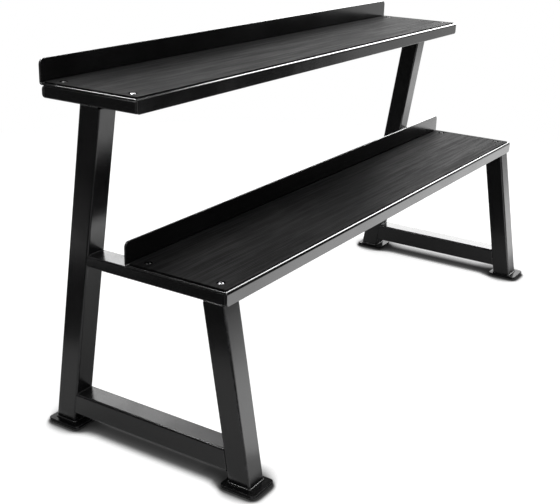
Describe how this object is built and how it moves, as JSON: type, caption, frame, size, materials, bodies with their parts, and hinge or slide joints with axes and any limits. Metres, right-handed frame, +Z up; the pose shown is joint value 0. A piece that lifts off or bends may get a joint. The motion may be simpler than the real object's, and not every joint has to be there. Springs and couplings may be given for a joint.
{
  "type": "dumbbell rack",
  "caption": "Two-tier dumbbell storage rack with welded square-tube end frames, folded steel shelf trays and flat rubber shelf mats.",
  "frame": {"origin": "On the floor, in the middle of the rack's base.", "axes": "+X runs along the shelves towards the rack's right end as seen from the front, +Y points to the back, away from the user, and +Z points up."},
  "size_m": [1.53, 0.5493, 0.803],
  "materials": {
    "powder_coat": "black powder coat, semi-gloss",
    "tray_coat": "black powder coat on sheet steel, semi-gloss",
    "weld_beads": "weld beads under the same black coat, a little rougher",
    "mat_rubber": "matte dark grey rubber with fine ribs along the shelf",
    "pad_rubber": "matte black rubber",
    "cap_plastic": "matte black moulded plastic",
    "bolt_steel": "zinc-plated steel",
    "nut_steel": "zinc-plated steel, hidden inside the bars"
  },
  "bodies": {
    "root": {"left_rear_leg": "powder_coat", "left_front_leg": "powder_coat", "left_floor_bar": "powder_coat", "left_mid_bar": "powder_coat", "left_top_bar": "powder_coat", "left_rear_foot_plate": "powder_coat", "left_front_foot_plate": "powder_coat", "left_rear_foot_pad": "pad_rubber", "left_front_foot_pad": "pad_rubber", "left_mid_bar_cap": "cap_plastic", "left_top_bar_front_cap": "cap_plastic", "left_top_bar_rear_cap": "cap_plastic", "left_frame_welds": "weld_beads", "right_rear_leg": "powder_coat", "right_front_leg": "powder_coat", "right_floor_bar": "powder_coat", "right_mid_bar": "powder_coat", "right_top_bar": "powder_coat", "right_rear_foot_plate": "powder_coat", "right_front_foot_plate": "powder_coat", "right_rear_foot_pad": "pad_rubber", "right_front_foot_pad": "pad_rubber", "right_mid_bar_cap": "cap_plastic", "right_top_bar_front_cap": "cap_plastic", "right_top_bar_rear_cap": "cap_plastic", "right_frame_welds": "weld_beads", "lower_tray": "tray_coat", "upper_tray": "tray_coat", "lower_mat": "mat_rubber", "upper_mat": "mat_rubber", "lower_tray_bolts": "bolt_steel", "upper_tray_bolts": "bolt_steel", "lower_rivet_nuts": "nut_steel", "upper_rivet_nuts": "nut_steel"}
  },
  "joints": []
}
